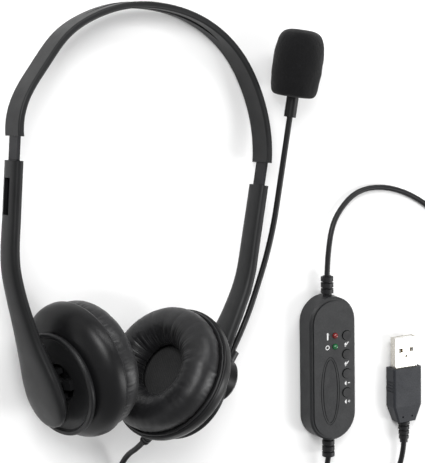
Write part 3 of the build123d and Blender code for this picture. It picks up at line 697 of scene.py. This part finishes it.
def cut(obj, place, centre, size):
    """Rectangular cut through a shell, in the frame place, mm."""
    bm = bmesh.new()
    bmesh.ops.create_cube(bm, size=1)
    for vert in bm.verts:
        local = Vector([centre[i] + vert.co[i] * size[i] for i in range(3)])
        vert.co = place @ local * MM
    bmesh.ops.recalc_face_normals(bm, faces=bm.faces)
    cutter = mesh_object("cutter", bm, INNER, False)
    change = obj.modifiers.new("cut", "BOOLEAN")
    change.object = cutter
    change.operation = "DIFFERENCE"
    change.solver = "EXACT"
    graph = bpy.context.evaluated_depsgraph_get()
    mesh = bpy.data.meshes.new_from_object(obj.evaluated_get(graph))
    obj.modifiers.clear()
    obj.data = mesh
    mesh.shade_smooth()
    mesh.set_sharp_from_angle(angle=radians(40))
    bpy.data.objects.remove(cutter)


def slide_frame(side):
    """Frame at the arm's mouth: x across the arm, z along the strip's slide."""
    sign = SIDES[side]
    down = Vector((SLIDE.x * sign, SLIDE.y, SLIDE.z))
    depth = (Vector((0, 1, 0)) - down * down.y).normalized()
    return LAY @ axes_matrix(Vector((ARM_TOP.x * sign, ARM_TOP.y, ARM_TOP.z)), depth, down)


CHANNEL = ((0.0, 0.0, 20.0), (7.2, 1.76, 44.0))
WINDOW = ((0.6, 0.0, 15.5), (4.6, 12.0, 16.0))


def arm(side):
    outer = arm_shell(f"arm_outer_{side}", side, 1, 0, TIP)
    inner = arm_shell(f"arm_inner_{side}", side, -1, 0, COLLAR)
    foot = arm_shell(f"arm_lower_{side}", side, -1, COLLAR, TIP)
    place = slide_frame(side)
    for shell in (outer, inner):
        cut(shell, place, *CHANNEL)
        cut(shell, place, *WINDOW)
    own(outer, f"arm_{side}", "arm_plastic")
    own(inner, f"arm_{side}", "liner_plastic", f"arm_liner_{side}")
    own(foot, f"arm_{side}", "arm_plastic")
    if side == "left":
        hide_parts("arm_cover_left")


for side in SIDES:
    arm(side)

# ------------------------------------------------------------------ ties round the coils
BUNDLE_MIDDLE = 4.25
BUNDLE_HALF = (4.15, 3.85)
STRAP_SECTION = [(-1.6, 0.0), (-1.5, 0.3), (1.5, 0.3), (1.6, 0.0)]


def tie(name, centre, angle):
    """Flat strap round the winding's cross-section."""
    place = Matrix.Translation(ORIGIN + Vector((*centre, BUNDLE_MIDDLE))) @ Matrix.Rotation(angle, 4, "Z")
    bm = bmesh.new()
    rings = []
    for turn in wrap(48):
        flat = signed_power(cos(turn), 0.55)
        rise = signed_power(sin(turn), 0.55)
        wobble = 0.15 * sin(3 * turn)
        ring = []
        for across, lift in STRAP_SECTION:
            spot = Vector((COIL_R + flat * (BUNDLE_HALF[0] + lift), across + wobble,
                           rise * (BUNDLE_HALF[1] + lift)))
            ring.append(bm.verts.new(place @ spot * MM))
        rings.append(ring)
    rings.append(rings[0])
    skin(bm, rings, False)
    bmesh.ops.recalc_face_normals(bm, faces=bm.faces)
    own(mesh_object(name, bm, GLAND), "cup_right", "gland_rubber")


tie("coil_tie_cup", CUP_COIL_AT, radians(250))
tie("coil_tie_plug", PLUG_COIL_AT, radians(260))

# ------------------------------------------------------------------ generic marks on the control box
BOX_AT = (120.6, 31.5)
BOX_THICK = 11.5
BOX_TURN = radians(11.5)
BOX_PLACE = Matrix.Translation(ORIGIN + Vector((*BOX_AT, BOX_THICK))) @ Matrix.Rotation(BOX_TURN, 4, "Z")
RING_AT = (-3.4, 11.0)
RING_R = (0.75, 1.15)
RING_SIDES = 18
MARK_ROWS = (11.4, 1.9, -7.7, -16.8)
INK_HEIGHT = 0.01


def marks():
    """Plain printed marks: a ring and two short bars by the lamps, and a wedge with a bar by each button."""
    bm = bmesh.new()

    def flat(points):
        bm.faces.new([bm.verts.new(BOX_PLACE @ Vector((x, y, INK_HEIGHT)) * MM) for x, y in points])

    def bar(x, y, wide, tall, turn=0.0):
        corners = []
        for u, v in ((-1, -1), (1, -1), (1, 1), (-1, 1)):
            a, b = u * wide / 2, v * tall / 2
            corners.append((x + a * cos(turn) - b * sin(turn), y + a * sin(turn) + b * cos(turn)))
        flat(corners)

    hole, rim = RING_R
    for angle in wrap(RING_SIDES):
        after = angle + 2 * pi / RING_SIDES
        corners = ((hole, angle), (rim, angle), (rim, after), (hole, after))
        flat([(RING_AT[0] + r * cos(a), RING_AT[1] + r * sin(a)) for r, a in corners])
    bar(-3.3, 16.4, 0.8, 3.4)
    bar(-2.9, 17.2, 0.7, 0.5)
    for index, y in enumerate(MARK_ROWS):
        flat([(6.0, y - 0.4), (6.9, y - 1.1), (6.9, y + 1.1), (6.0, y + 0.4)])
        if index < 2:
            bar(7.2, y, 0.45, 3.0, radians(-40))
        else:
            bar(8.3, y, 1.2, 0.4)
            if index == 3:
                bar(8.3, y, 0.4, 1.2)
    own(mesh_object("box_marks", bm, INK, False), "cup_right", "oval_plastic")


marks()

# ------------------------------------------------------------------ microphone foam
FOAM_PROFILE = [
    (2.9, 0.0), (6.0, 0.0), (8.6, 0.35), (9.9, 1.3), (10.6, 3.4), (11.1, 8.0), (11.45, 14.5), (11.2, 21.0),
    (10.3, 26.0), (8.6, 29.0), (6.0, 30.4), (3.0, 30.8), (0.0, 30.85),
]
BOOM_END = Vector((-11.5, 133.5, 2.4))
BOOM_LAST = Vector((-4.8, 76.0, 23.6))
FOAM_START = 5.4
boom_dir = (BOOM_END - BOOM_LAST).normalized()
mic_frame = arm_frame("right") @ axes_matrix(BOOM_END, Vector((1, 0, 0)) - boom_dir * boom_dir.x, boom_dir)


def pores(r, z, angle, along):
    """Slightly lumpy surface with fine pits; the vertex on the axis stays."""
    if r < 0.01:
        return r, z
    spot = Vector((r * cos(angle), r * sin(angle), z))
    return r + noise.noise(spot * 0.22) * 0.22 + noise.noise(spot * 2.6) * 0.10, z


foam_line = [(max(p.x, 0), p.y) for p in smooth_profile(FOAM_PROFILE, 8)]
foam_frame = mic_frame @ Matrix.Translation((0, 0, FOAM_START))
windscreen = turned("foam_cover", foam_frame, foam_line, 240, FOAM, pores)
own(windscreen, "boom", "foam", "windscreen")
